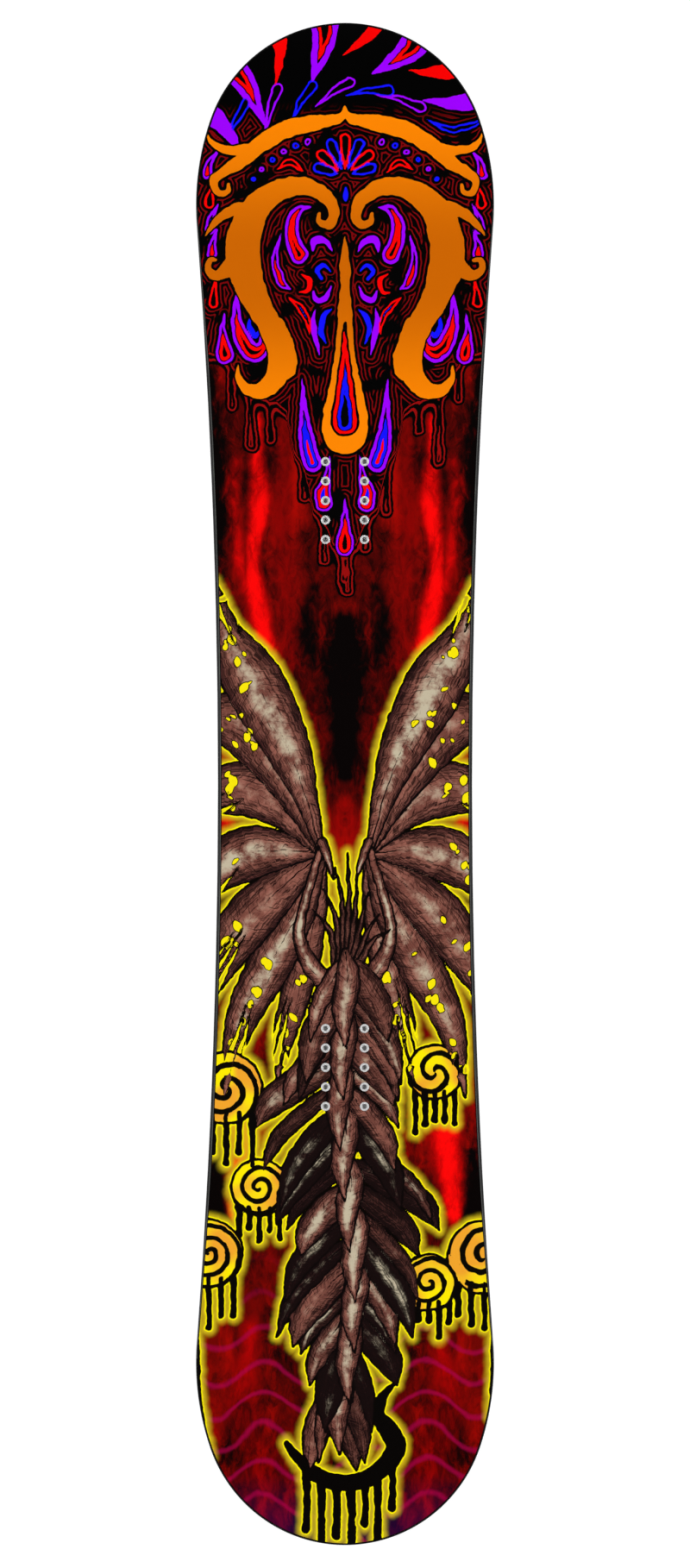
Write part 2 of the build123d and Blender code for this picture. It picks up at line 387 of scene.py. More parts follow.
def drill(sheet):
    """Cuts the holes that the insert barrels stand in."""
    tool = bmesh.new()
    radius = BARREL_RADIUS * MM
    depth = CUTTER_LENGTH * MM
    for _, x, y in insert_spots():
        made = bmesh.ops.create_cone(
            tool, cap_ends=True, segments=CUTTER_SEGMENTS, depth=depth, radius1=radius, radius2=radius
        )
        bmesh.ops.translate(tool, verts=made["verts"], vec=Vector((x, y, DECK_TOP)) * MM)
    mesh = bpy.data.meshes.new("drill")
    tool.to_mesh(mesh)
    tool.free()
    cutter = bpy.data.objects.new("drill", mesh)
    scene.collection.objects.link(cutter)
    cut = sheet.modifiers.new("holes", "BOOLEAN")
    cut.operation = "DIFFERENCE"
    cut.solver = "MANIFOLD"
    cut.object = cutter
    bpy.context.view_layer.update()
    drilled = bpy.data.meshes.new_from_object(sheet.evaluated_get(bpy.context.evaluated_depsgraph_get()))
    sheet.modifiers.clear()
    sheet.data = drilled
    drilled.materials.clear()
    bpy.data.objects.remove(cutter)
    smooth(drilled, SHARP_ANGLE)


def fold_uv(mesh):
    """Lays the long sheet out as four strips, two by two, so that a square picture of it is sharp.
    The hidden underside is squeezed into a narrow column at the right."""
    strip_length = HALF_LENGTH / 2
    cell = 0.48
    margin = 0.005
    underside_u, underside_width = 0.99, 0.008
    place = read(mesh.vertices, "co", 3)[read(mesh.loops, "vertex_index", 1, int)] / MM
    corners = read(mesh.polygons, "loop_total", 1, int)
    centre = read(mesh.polygons, "center", 3)[:, 1] / MM
    strip = np.clip(np.floor((centre + HALF_LENGTH) / strip_length), 0, 3)
    strip = np.repeat(strip, corners)
    under = np.repeat(read(mesh.polygons, "normal", 3)[:, 2] < -0.5, corners)
    width = 2 * (HALF_WAIST + SIDECUT_DEPTH) + 2
    along = (place[:, 1] + HALF_LENGTH - strip * strip_length) / strip_length
    u = (place[:, 0] / width + 0.5) * cell + margin + 0.5 * (strip % 2)
    v = along * cell + 2 * margin + 0.5 * (strip // 2)
    u = np.where(under, underside_u + underside_width * place[:, 0] / width, u)
    v = np.where(under, (place[:, 1] / HALF_LENGTH + 1) * (0.5 - 2 * margin) + 2 * margin, v)
    layer = mesh.uv_layers.new(name="OFBake")
    layer.data.foreach_set("uv", np.stack([u, v], 1).ravel().astype(np.float32))


sheet = mesh_object("topsheet_print", *topsheet_mesh())
drill(sheet)
fold_uv(sheet.data)
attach(sheet, "root")
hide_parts("topsheet")

# ---- artwork of the topsheet
# The ornament: flames, scrolls and drops on dripping black at the nose; fan leaves, discs and a
# plume of overlapping leaves on smoky red below. Shapes are signed distances in millimetres at the
# sheet's vertices, negative inside, and the shader draws its edges from them.
BOTH = (1, -1)
count = len(sheet.data.vertices)
PLAN_X, PLAN_Y = read(sheet.data.vertices, "co", 3)[:, :2].T / MM


def drift(size, seed):
    """Smooth random values from -1 to 1 at the sheet's vertices, which change over size millimetres."""
    table = np.random.default_rng(seed).uniform(-1, 1, (256, 256))
    u, v = PLAN_X / size + 500.0, PLAN_Y / size + 500.0
    i, j = np.floor(u).astype(int), np.floor(v).astype(int)
    u, v = u - i, v - j
    u, v = u * u * (3 - 2 * u), v * v * (3 - 2 * v)
    i, j, i2, j2 = i % 256, j % 256, (i + 1) % 256, (j + 1) % 256
    low = table[i, j] * (1 - u) + table[i2, j] * u
    high = table[i, j2] * (1 - u) + table[i2, j2] * u
    return low * (1 - v) + high * v


# A hand's unsteadiness, so that no edge is drawn with a ruler
ART_X = PLAN_X + 0.9 * drift(7.0, 1) + 0.35 * drift(2.6, 2)
ART_Y = PLAN_Y + 0.9 * drift(7.0, 3) + 0.35 * drift(2.6, 4)

field = {
    name: np.full(count, FAR)
    for name in ("orange", "drop", "ground", "leaf", "line", "hole", "disc", "ooze")
}
SOFT_FIELDS = ("run", "off", "across", "light", "murk", "flare", "soot", "swirl", "ring")
field.update({name: np.zeros(count) for name in SOFT_FIELDS})
tints = {name: np.zeros((count, 4)) for name in ("ring_ink", "core_ink", "heart_ink")}


def spline(points, steps=7):
    """A smooth line through points, each with its half width."""
    p = np.array(points, float)
    p = np.concatenate([2 * p[:1] - p[1:2], p, 2 * p[-1:] - p[-2:-1]])
    t = np.linspace(0, 1, steps, endpoint=False)[:, None]
    spans = [
        b + (c - a) * t / 2 + (2 * a - 5 * b + 4 * c - d) * t**2 / 2 + (3 * b - a - 3 * c + d) * t**3 / 2
        for a, b, c, d in zip(p, p[1:], p[2:], p[3:])
    ]
    line = np.concatenate(spans + [p[-2:-1]])
    line[:, 2] = np.maximum(line[:, 2], 0.05)
    return line


DOT = [[0, 0, 0], [0, 0.01, 0]]  # a dot is a stroke this short


def brush(points, side=1, reach=18.0):
    """The vertices near a stroke; their distance from its edge, their millimetres along and across it and
    its half width there; and the stroke's length. A single point is a dot."""
    p = spline(points) if len(points) > 1 else np.array([points[0], points[0]], float) + DOT
    pad = p[:, 2].max() + reach
    x, y = side * ART_X, ART_Y
    low, high = p.min(0) - pad, p.max(0) + pad
    near = np.flatnonzero((x > low[0]) & (x < high[0]) & (y > low[1]) & (y < high[1]))
    x, y = x[near], y[near]
    best = np.full(len(near), FAR)
    along, off, half = np.zeros(len(near)), np.zeros(len(near)), np.ones(len(near))
    travelled = 0.0
    for a, b in zip(p, p[1:]):
        dx, dy = b[0] - a[0], b[1] - a[1]
        span = math.hypot(dx, dy)
        t = np.clip(((x - a[0]) * dx + (y - a[1]) * dy) / span**2, 0, 1)
        ex, ey = x - a[0] - t * dx, y - a[1] - t * dy
        wide = a[2] + t * (b[2] - a[2])
        gap = np.hypot(ex, ey)
        nearer = gap - wide < best
        best = np.where(nearer, gap - wide, best)
        along = np.where(nearer, travelled + t * span, along)
        off = np.where(nearer, np.copysign(gap, dx * ey - dy * ex), off)
        half = np.where(nearer, wide, half)
        travelled += span
    return near, best, along, off, half, travelled


def draw(name, points, sides=BOTH):
    """Adds a stroke to a field."""
    for side in sides:
        near, gap, *_ = brush(points, side)
        field[name][near] = np.minimum(field[name][near], gap)


BLACK = ink(0, 0, 0)
ORANGE = ink(255, 136, 0)
PURPLE = ink(158, 0, 255)
BLUE = ink(18, 18, 255)
RED = ink(250, 0, 0)
NO_CORE = 50  # a ring so wide that it fills the whole drop


def drop(points, ring, core=BLACK, heart=BLACK, width=NO_CORE, sides=BOTH):
    """A drop of rings inside each other: an outer ring of that width, a core and a heart."""
    for side in sides:
        near, gap, *_ = brush(points, side)
        closer = gap < field["drop"][near]
        chosen = near[closer]
        field["drop"][chosen] = gap[closer]
        field["ring"][chosen] = width
        for name, tint in zip(tints, (ring, core, heart)):
            tints[name][chosen] = tint


def glow(name, points, strength=1.0):
    """Soft light or dark along a stroke; its half width says how far it reaches."""
    for side in BOTH:
        near, _, _, off, half, _ = brush(points, side, 2.5 * max(p[2] for p in points))
        field[name][near] = np.maximum(field[name][near], strength * np.exp(-((off / half) ** 2)))


def around(angle, radius, y=TIP_Y):
    """A point at a bearing, in degrees from the nose's direction, round a spot on the middle line."""
    turn = math.radians(angle)
    return radius * math.sin(turn), y + radius * math.cos(turn)


# Flames round the nose: bearing, where they start, width, inks and the width of the ring
FLAME_END = 158  # past the rim
FLAMES = [
    (-69, 106, 11, PURPLE),
    (-49, 92, 13, PURPLE, RED, BLACK, 5.4),
    (-27, 110, 8, RED),
    (-8, 92, 15, PURPLE, RED, BLACK, 6.0),
    (13, 114, 8, RED),
    (30, 98, 15, PURPLE, RED, BLACK, 6.0),
    (48, 118, 10, RED),
    (63, 104, 10, PURPLE),
]
for bearing, deep, wide, *inks in FLAMES:
    room = FLAME_END - deep
    flame = [(*around(bearing - 14, deep), 0.4), (*around(bearing - 6, deep + room * 0.3), wide * 0.5)]
    flame += [(*around(bearing - 1, deep + room * 0.65), wide * 0.85)]
    flame += [(*around(bearing, FLAME_END), wide * 1.15)]
    drop(flame, *inks, sides=(1,))
# Tears below them: bearing, where they start and ink
TEARS = [(-41, 87, PURPLE), (-22, 71, BLUE), (3, 68, PURPLE), (30, 72, BLUE), (52, 80, PURPLE)]
for bearing, base, tint in TEARS:
    tear = [(*around(bearing - 30, base), 0.4), (*around(bearing - 13, base + 9), 3.4)]
    tear += [(*around(bearing, base + 18), 6.0)]
    drop(tear, tint, width=2.0, sides=(1,))
drop([(-120, 664, 0.4), (-111, 682, 3.6), (-101, 700, 4.6)], BLUE, width=2.0, sides=(1,))
drop([(84, 682, 0.4), (108, 672, 3.6), (128, 676, 3.4), (146, 684, 1.4)], BLUE, width=2.0, sides=(1,))

# Crest of two scrolls over a palmette and a string of beads
draw("orange", [(0, 696, 0.6), (5, 684, 4.6), (34, 678, 8.0), (62, 671, 9.0), (88, 656, 8.6)]
     + [(106, 640, 7.0), (122, 630, 5.4), (134, 620, 4.2), (131, 608, 3.4), (121, 608, 2.6)]
     + [(120, 616, 1.6)])
draw("orange", [(96, 652, 6.0), (116, 650, 4.6), (134, 656, 3.0), (142, 668, 0.4)])
draw("orange", [(90, 590, 9.0), (112, 590, 6.4), (130, 580, 4.0), (144, 562, 0.4)])
PALMETTE_Y = 624
for bearing, length, tint in ((0, 38, RED), (24, 36, BLUE), (48, 33, RED), (72, 28, BLUE)):
    shape = ((8, 0.6), (length * 0.6, 4.6), (length, 5.6))
    petal = [(*around(bearing, far, PALMETTE_Y), wide) for far, wide in shape]
    drop(petal, tint, BLACK, RED, width=2.2)
for i, (x, y) in enumerate(((38, 659), (51, 655), (63, 649), (75, 641), (86, 631), (94, 621))):
    drop([(x, y, 3.6 - 0.2 * i)], (PURPLE, BLUE)[i % 2], (BLACK, RED)[i % 2], width=1.8)
drop([(42, 628, 0.5), (56, 638, 3.6), (70, 631, 0.5)], RED, width=1.8)
drop([(0, 612, 1.0), (0, 604, 3.0), (0, 598, 1.0)], BLUE)

# Lyre of two scrolls, and a pendant that ends in a drop
draw("orange", [(27, 586, 1.6), (26, 577, 3.2), (17, 574, 4.4), (11, 584, 5.2), (17, 600, 6.6)]
     + [(38, 613, 8.6), (66, 610, 11), (92, 590, 14.5), (104, 560, 17.5), (103, 530, 17.0)]
     + [(93, 500, 14.0), (77, 470, 11.5), (68, 444, 11.5), (70, 420, 11.0)]
     + [(83, 405, 9.0), (99, 405, 6.0), (109, 416, 3.4), (110, 430, 0.4)])
draw("orange", [(104, 552, 10.0), (119, 530, 7.5), (131, 522, 5.2), (140, 528, 3.8), (139, 538, 2.8)]
     + [(132, 538, 1.6)])
draw("orange", [(70, 470, 9.0), (58, 446, 6.6), (54, 428, 4.4), (60, 418, 3.0), (66, 424, 1.4)])
draw("orange", [(0, 562, 0.4), (0, 548, 3.0), (0, 530, 5.6), (0, 512, 4.4), (0, 490, 6.5)]
     + [(0, 440, 10.5), (0, 400, 18.0), (0, 372, 23.5), (0, 362, 23.0)])
hollow = brush([(0, 474, 0.2), (0, 440, 4.0), (0, 405, 8.5), (0, 380, 12.5), (0, 371, 13.0)])
near, gap = hollow[:2]
field["orange"][near] = np.maximum(field["orange"][near], 1.6 - gap)
pendant = [(0, 468, 0.2), (0, 440, 3.4), (0, 405, 7.6), (0, 380, 11.5), (0, 371, 12.0)]
drop(pendant, RED, BLUE, BLACK, width=3.4)

# What fills the lyre and the space beside it
drop([(34, 592, 0.4), (47, 590, 4.4), (54, 576, 6.4), (54, 560, 7.6), (47, 543, 9.0)], PURPLE, RED, width=3.0)
drop([(13, 546, 0.4), (20, 557, 3.0), (31, 558, 3.8), (34, 546, 0.5)], PURPLE)
drop([(66, 566, 0.4), (72, 540, 3.2), (66, 516, 4.6), (56, 508, 0.6)], PURPLE, RED, width=2.0)
drop([(15, 527, 0.6), (22, 533, 2.0), (29, 527, 2.2), (24, 519, 1.6)], BLUE)
drop([(44, 524, 0.6), (36, 517, 2.4), (38, 506, 2.2), (47, 505, 0.6)], RED)
drop([(14, 512, 0.4), (19, 500, 2.6), (29, 497, 2.6), (32, 506, 0.8)], PURPLE)
drop([(58, 500, 0.4), (47, 490, 3.2), (38, 476, 3.0), (36, 462, 0.6)], RED, BLUE, width=1.8)
drop([(14, 488, 0.4), (22, 480, 2.8), (25, 466, 2.6), (20, 452, 0.6)], BLUE)
drop([(31, 488, 0.4), (33, 474, 2.4), (30, 458, 2.6), (26, 440, 0.5)], PURPLE)
for i, y in enumerate((632, 602, 576, 550, 500)):
    tear = [(128 + i, y + 20, 0.4), (139 - i, y + 6, 3.2), (141 - 1.4 * i, y - 6, 5.4)]
    drop(tear, (PURPLE, RED, PURPLE)[i % 3], (RED, BLACK, BLUE)[i % 3], width=2.2)
drop([(124, 484, 0.4), (126, 462, 4.0), (124, 446, 8.2), (123, 440, 8.6)], PURPLE, RED, width=2.4)
hook = [(108, 516, 0.3), (112, 486, 4.0), (107, 460, 8.0), (95, 443, 9.4), (84, 448, 7.0), (84, 459, 3.0)]
drop(hook, PURPLE, RED, width=3.2)
drop([(96, 484, 0.3), (98, 470, 2.4), (92, 460, 2.6), (86, 468, 0.6)], BLUE)

# Drops that run down over the front inserts
drop([(44, 418, 0.3), (42, 380, 4.4), (39, 350, 8.6), (33, 330, 9.4)], PURPLE, BLUE, RED, width=3.4)
drop([(15, 338, 0.3), (19, 314, 4.6), (23, 298, 8.4), (22, 288, 8.8)], PURPLE, RED, BLUE, width=2.2)
drop([(0, 294, 0.3), (0, 268, 4.6), (0, 250, 8.6), (0, 243, 8.8)], PURPLE, RED, width=2.2)

# The black ground and its drips
shore = np.interp(
    np.abs(ART_X),
    [0, 12, 22, 33, 42, 52, 60, 70, 92, 106, 118, 130, 160],
    [226, 236, 262, 272, 316, 330, 372, 380, 386, 398, 424, 430, 434],
)
ground = (shore - ART_Y) * 0.7
RUNS = [(2, 250, 205, 9.0, -5), (21, 280, 236, 8.0, 6), (42, 330, 288, 8.0, -7)]
RUNS += [(76, 400, 358, 7.2, 5), (96, 400, 340, 9.0, -8), (116, 440, 392, 7.4, 4)]
for x, y, low, wide, uneven in RUNS:
    for side in BOTH:
        end = low + side * uneven
        run = [(x, y, wide * 0.75), (x + 0.8, (y + end) / 2, wide * 0.8), (x, end, wide)]
        near, gap, *_ = brush(run, side)
        ease = np.maximum(7.0 - np.abs(ground[near] - gap), 0) ** 2 / 28.0
        ground[near] = np.minimum(ground[near], gap) - ease
field["ground"] = ground

# Smoke: bright flares along the fans and at the tail, soot in the middle
flare = [(94, 410, 5), (91, 350, 8), (88, 290, 12), (94, 240, 8), (91, 190, 12), (80, 130, 13)]
glow("flare", flare + [(62, 80, 11), (54, 50, 7)], 1.2)
glow("flare", [(112, 330, 8), (116, 290, 12), (110, 240, 11), (102, 200, 8)], 0.62)
glow("flare", [(70, 380, 16), (66, 300, 20), (62, 200, 20), (52, 120, 14)], 0.34)
glow("flare", [(118, 60, 12), (122, -40, 16), (120, -60, 12)], 0.7)
glow("flare", [(118, -250, 10), (106, -300, 13), (104, -360, 17), (112, -440, 12)], 1.25)
glow("flare", [(96, -560, 14), (104, -640, 24), (84, -710, 22)], 0.5)
glow("flare", [(0, -20, 10), (10, -60, 14), (0, -140, 22)], 0.36)
glow("soot", [(0, 165, 18), (0, 112, 34), (0, 60, 22), (0, 10, 10)], 1.0)
glow("soot", [(34, 200, 9), (38, 150, 14), (24, 120, 14)], 0.7)
glow("soot", [(142, 420, 22), (140, 250, 28), (136, 120, 20)], 0.95)
glow("soot", [(132, -380, 10), (134, -440, 16), (128, -500, 12)], 0.8)


def leaf(points, light=0.5, side=1, rib=True, murk=0.0):
    """A blade laid over what was drawn before it, with its own outline, midrib and shading coordinates."""
    near, gap, along, off, half, length = brush(points, side)
    field["leaf"][near] = np.minimum(field["leaf"][near], gap)
    inside = gap < 0
    share = along / length
    drawn = np.minimum(-gap, np.abs(off) + 1.6 * share) if rib else -gap
    field["line"][near] = np.where(inside, drawn, np.minimum(field["line"][near], np.abs(gap)))
    over = near[inside]
    field["run"][over] = along[inside] + 137.0 * light
    field["off"][over] = off[inside]
    field["across"][over] = off[inside] / np.maximum(half[inside], 0.5)
    field["light"][over] = light * (0.25 + 0.75 * np.sin(math.pi * np.clip(share[inside], 0, 1)))
    field["murk"][over] = murk


def pick(low, high):
    """A random number between two."""
    return rng.uniform(low, high)


rng = np.random.default_rng(11)

# Two fan leaves that spring from a joint near the middle and reach the deck's sides
FAN = [
    [(22, -78, 3), (29, -130, 10), (43, -190, 15), (60, -250, 12), (70, -306, 0.4)],
    [(24, -76, 4), (44, -126, 15), (76, -184, 22), (108, -246, 15), (124, -322, 0.4)],
    [(26, -74, 4), (58, -100, 17), (96, -136, 26), (130, -186, 18), (150, -238, 0.4)],
    [(28, -71, 4), (62, -68, 17), (102, -72, 27), (136, -94, 19), (160, -128, 0.4)],
    [(28, -68, 4), (62, -28, 18), (100, -6, 27), (134, -10, 20), (160, -36, 0.4)],
    [(27, -66, 4), (52, -8, 19), (88, 48, 31), (124, 68, 25), (158, 58, 0.4)],
    [(26, -64, 4), (42, -8, 13), (62, 44, 24), (94, 104, 30), (122, 156, 15), (133, 208, 0.4)],
]
for side in BOTH:
    for i, blade in enumerate(FAN):
        leaf(blade, (0.5, 0.8, 0.6, 0.85, 0.55, 0.7, 0.95)[i] + side * 0.08 * (-1) ** i, side)
    # torn places: gaps that come in from the tips and holes that show the glow
    for i, blade in enumerate(FAN):
        path = spline(blade)
        for _ in range(9):
            at = path[int(pick(0.5, 0.93) * (len(path) - 1))]
            lift = pick(-0.8, 0.8) * at[2]
            x, y, wide = at[0] + pick(-3, 3), at[1] + lift, pick(1.2, 4.4)
            lean = pick(-5, 5)
            hole = [(x, y, wide * 0.5), (x + lean * 0.6, y - wide, wide)]
            hole += [(x + lean, y - 2 * wide, wide * 0.4)]
            draw("hole", hole, (side,))
        back, tip = np.array(blade, float)[-2:, :2]
        dx, dy = (tip - back) / np.linalg.norm(tip - back)
        sidewards = np.array([-dy, dx])
        for notch in (-0.9, -0.35, 0.3, 0.85):
            mouth = back * 0.35 + tip * 0.65 + sidewards * notch * 15
            throat = back * pick(0.7, 1.15) + tip * 0.08 + sidewards * notch * 9
            near, gap, *_ = brush([(*mouth, 4.5), (*((mouth + throat) / 2), 2.6), (*throat, 0.3)], side)
            field["leaf"][near] = np.maximum(field["leaf"][near], -gap)
            line = field["line"][near]
            field["line"][near] = np.where(gap < 0, line, np.minimum(line, np.abs(gap)))

# Stalks that carry the fans, and a tuft of thin blades over the plume
for side in BOTH:
    stalk = [(25, -66, 3.2), (36, -104, 4.4), (47, -148, 5.6), (38, -182, 8.5), (14, -210, 10)]
    leaf(stalk, 1.1, side, rib=False)
    leaf([(24, -60, 4.8), (17, -78, 3.6), (12, -98, 0.3)], 0.9, side, rib=False)
for x, y in ((-34, -128), (-22, -108), (-10, -86), (2, -70), (13, -94), (24, -112), (36, -134), (46, -150)):
    leaf([(x, y, 0.2), (x * 0.55 + 3, y * 0.5 - 86, 2.0), (x * 0.25, -190, 4.2)], 0.2, 1, rib=False, murk=0.6)

# The plume: pairs of blades that overlap like shingles, lowest first
AXIS = [(-16, -700), (-14, -640), (2, -560), (12, -470), (2, -380), (-6, -290), (0, -190)]
axis_y = np.array([p[1] for p in AXIS])
axis_x = np.array([p[0] for p in AXIS])
TIERS = 18
PLUME_TOP = -186
TIER_STEP = 26
for i in range(TIERS - 1, -1, -1):
    y = PLUME_TOP - TIER_STEP * i
    x = float(np.interp(y, axis_y, axis_x))
    spread = 40 + 44 * math.sin(math.pi * min(i / 14.5, 1.0)) * (0.75 + 0.25 * math.sin(i * 1.9))
    fall = 78 + 18 * math.sin(i * 1.3)
    for side in BOTH:
        reach = spread * (1 + 0.2 * side * math.sin(i * 0.9 + 0.6)) * (1.0 if i < TIERS - 3 else 0.6)
        wide = 11.5 + 3.5 * math.sin(i * 2.3 + side)
        blade = [(side * x, y + 6, 4.0), (side * x + reach * 0.34, y - fall * 0.16, wide)]
        blade += [(side * x + reach * 0.8, y - fall * 0.58, wide * 0.95), (side * x + reach, y - fall, 0.3)]
        leaf(blade, pick(0.1, 1.25), side, murk=pick(0.0, 0.75) * (i + (side > 0)) % 2)
    if i % 2 == 0:
        keel = [(x, y + 14, 4.0), (x + 3, y - 14, 12.5), (x - 2, y - 50, 10.5), (x + 1, y - 86, 0.3)]
        leaf(keel, pick(0.85, 1.3))

# Discs with a swirl, black runs below them, and a puddle at the tail
DISCS = [(-122, -312, 37, 1), (92, -296, 28, 3), (-88, -414, 29, 2)]
DISCS += [(-140, -482, 35, 4), (143, -486, 38, 5), (86, -512, 29, 6)]
for x, y, radius, turn in DISCS:
    near, gap, *_ = brush([(x, y, radius)], 1, 20)
    closer = near[gap < 8]
    field["disc"][near] = np.minimum(field["disc"][near], gap)
    away = np.hypot(ART_X[closer] - x, ART_Y[closer] - y)
    angle = np.arctan2(ART_Y[closer] - y, ART_X[closer] - x)
    arms = 1 + turn % 2
    brim = y - radius * 0.72
    field["swirl"][closer] = np.sin(arms * angle + away * (0.62 - 0.1 * arms) + turn) - 0.25 * away / radius
    for k in range(5):
        start = x + (k - 2) * radius * 0.36
        fall = radius * pick(0.5, 1.5)
        wide = pick(1.8, 3.4)
        foot = brim - fall
        run = [(start, brim, wide * 1.1), (start + 0.5, foot + 8, wide * 0.7), (start, foot, wide)]
        draw("ooze", run, (1,))
puddle = [(-60, -676, 2), (-50, -690, 4), (-34, -706, 6), (-10, -716, 7.5), (18, -714, 7.5), (40, -700, 8.5)]
puddle += [(52, -682, 9), (46, -664, 8.5), (34, -648, 6.5), (38, -630, 4), (50, -616, 0.6)]
draw("ooze", puddle, (1,))
DRIPS = [(-40, -706, -764, 3.4), (-25, -712, -792, 3.2), (-9, -716, -770, 3.8), (6, -716, -794, 3.8)]
DRIPS += [(20, -712, -758, 3.0), (33, -706, -786, 3.6), (48, -696, -742, 3.2)]
for x, top, low, wide in DRIPS:
    draw("ooze", [(x, top, wide * 1.2), (x + 1, (top + low) / 2, wide * 0.7), (x, low, wide)], (1,))
draw("ooze", [(-157, -520, 5.0), (-156, -600, 6.0), (-151, -650, 5.0), (-141, -690, 3.0)], (1,))
draw("ooze", [(157, -560, 6.0), (155, -610, 5.0), (151, -650, 2.0)], (1,))

# Waves across the tail, distances to the nearest of several shapes, and the sheet's border
swell = np.cos(2 * math.pi * (np.abs(PLAN_X) + 12) / 96)
field["wave"] = ART_Y - 13 * swell + 5 * drift(34.0, 9)
field["echo"] = np.minimum(field["orange"], field["drop"])
side_inset = wall_inset(PLAN_Y, deck_height(PLAN_Y))
lean = half_width(PLAN_Y + 0.5, side_inset) - half_width(PLAN_Y - 0.5, side_inset)
field["border"] = (half_width(PLAN_Y, side_inset) - np.abs(PLAN_X)) / np.hypot(1.0, lean)
field["outer"] = np.minimum(np.minimum(field["leaf"], field["disc"]), field["ooze"])

for name, values in field.items():
    store(sheet.data, name, values)
for name, values in tints.items():
    store(sheet.data, name, values, "FLOAT_COLOR", "color")


OUTLINE = 1.7  # black line round the nose's shapes
WAVE_PITCH = 34.0
RIPPLE_PITCH = 3.9
VEIN_PITCH = 15.0


def smoke_ink(s, place, y):
    """Red smoke, the same left and right, with bright flares and soot, and purple at the tail's end."""
    x, *_ = s.axes(place)
    mirrored = s.vector(s.math("ABSOLUTE", x), y)
    billow = s.noise(mirrored, (26, 11, 1), 8, 0.62, 0.6)
    wisp = s.noise(mirrored, (90, 46, 1), 6, 0.7, 1.2)
    streak = s.noise(mirrored, (44, 5, 1), 4, 0.5)
    smoke = s.plus(s.times(billow, 0.6), s.times(wisp, 0.4))
    colour = s.blend(s.fade(smoke, 0.36, 0.62), ink(14, 0, 0), ink(112, 3, 0))
    colour = s.blend(s.fade(s.times(smoke, streak), 0.25, 0.44), colour, ink(168, 6, 0))
    flare = s.times(s.attribute("flare"), s.stretch(smoke, 0.36, 0.62, 0.5, 1.25))
    colour = s.blend(s.fade(flare, 0.08, 0.7), colour, ink(150, 0, 0))
    colour = s.blend(s.fade(flare, 0.42, 1.15), colour, ink(255, 4, 4))
    soot = s.times(s.attribute("soot"), s.stretch(smoke, 0.35, 0.65, 1.5, 0.6))
    colour = s.blend(s.fade(soot, 0.2, 0.85), colour, ink(4, 0, 0))
    return s.blend(s.times(s.fade(y, -0.70, -0.78), 0.6), colour, ink(44, 0, 62))


def wave_ink(s, colour, y):
    """Soft magenta waves over the tail."""
    crest = s.math("FLOORED_MODULO", s.attribute("wave"), WAVE_PITCH)
    tail = s.times(s.fade(y, -0.47, -0.60), 0.5)
    return s.blend(s.times(s.band(crest, 7.0, 12.0, 2.2), tail), colour, ink(176, 0, 72))


def ground_ink(s, colour, y):
    """The nose's black ground with its double outline, and lines that echo the shapes on it."""
    ground, echo = s.attribute("ground"), s.attribute("echo")
    colour = s.blend(s.fade(ground, 0.4, -0.4), colour, BLACK)
    rims = s.plus(s.band(ground, -4.1, -2.5), s.band(ground, -8.1, -6.7))
    ripple = s.math("FLOORED_MODULO", s.minus(echo, 2.6), RIPPLE_PITCH)
    ripples = s.times(s.band(ripple, 0.3, 1.6), s.fade(echo, 2.5, 2.8))
    patch = s.fade(s.noise(s.place(), (30, 30, 1), 2), 0.40, 0.47)
    low = s.times(s.times(patch, s.fade(echo, 14.0, 12.4)), s.fade(y, 0.70, 0.672))
    ripples = s.times(s.times(ripples, low), s.fade(ground, -8.4, -9.4))
    colour = s.blend(ripples, colour, ink(124, 4, 8))
    return s.blend(rims, colour, ink(150, 10, 10))


def ornament_ink(s, colour, y):
    """Ringed drops, and over them the orange scrolls, darker half way down, all with a black outline."""
    drop_gap, orange_gap = s.attribute("drop"), s.attribute("orange")
    deep = s.math("ABSOLUTE", s.minus(y, 0.53))
    orange = s.blend(s.fade(deep, 0.16, 0.02), ORANGE, ink(206, 102, 0))
    edge = s.math("MAXIMUM", drop_gap, s.minus(1.5, orange_gap))
    inner = s.plus(drop_gap, s.attribute("ring"))
    rings = s.blend(s.inside(inner), s.tint("ring_ink"), BLACK)
    rings = s.blend(s.inside(inner, -1.1), rings, s.tint("core_ink"))
    rings = s.blend(s.inside(inner, -4.3), rings, s.tint("heart_ink"))
    colour = s.blend(s.inside(s.minus(edge, OUTLINE)), colour, BLACK)
    colour = s.blend(s.inside(edge), colour, rings)
    colour = s.blend(s.inside(s.minus(orange_gap, OUTLINE)), colour, BLACK)
    return s.blend(s.inside(orange_gap), colour, orange)


def halo_ink(s, colour):
    """A yellow glow and a black line round everything that lies on the smoke."""
    outer = s.attribute("outer")
    off_ground = s.fade(s.attribute("ground"), -1.0, 1.0)
    halo = s.times(s.math("POWER", s.fade(outer, 11.0, 1.5), 1.4), off_ground)
    colour = s.blend(s.times(halo, 0.94), colour, ink(214, 190, 30))
    colour = s.blend(s.times(s.fade(outer, 3.2, 1.7), off_ground), colour, ink(255, 242, 0))
    return s.blend(s.inside(outer, 1.25), colour, ink(6, 2, 0))


def disc_ink(s, colour):
    """Yellow discs with a black swirl and rim, and the black runs."""
    patch = s.fade(s.noise(s.place(), (22, 22, 1), 1), 0.4, 0.6)
    face = s.blend(patch, ink(255, 236, 0), ink(243, 166, 44))
    face = s.blend(s.fade(s.attribute("swirl"), 0.12, 0.2), face, ink(6, 4, 0))
    face = s.blend(s.fade(s.attribute("disc"), -1.9, -1.4), face, ink(6, 4, 0))
    colour = s.blend(s.inside(s.attribute("disc")), colour, face)
    return s.blend(s.inside(s.attribute("ooze")), colour, ink(5, 3, 2))


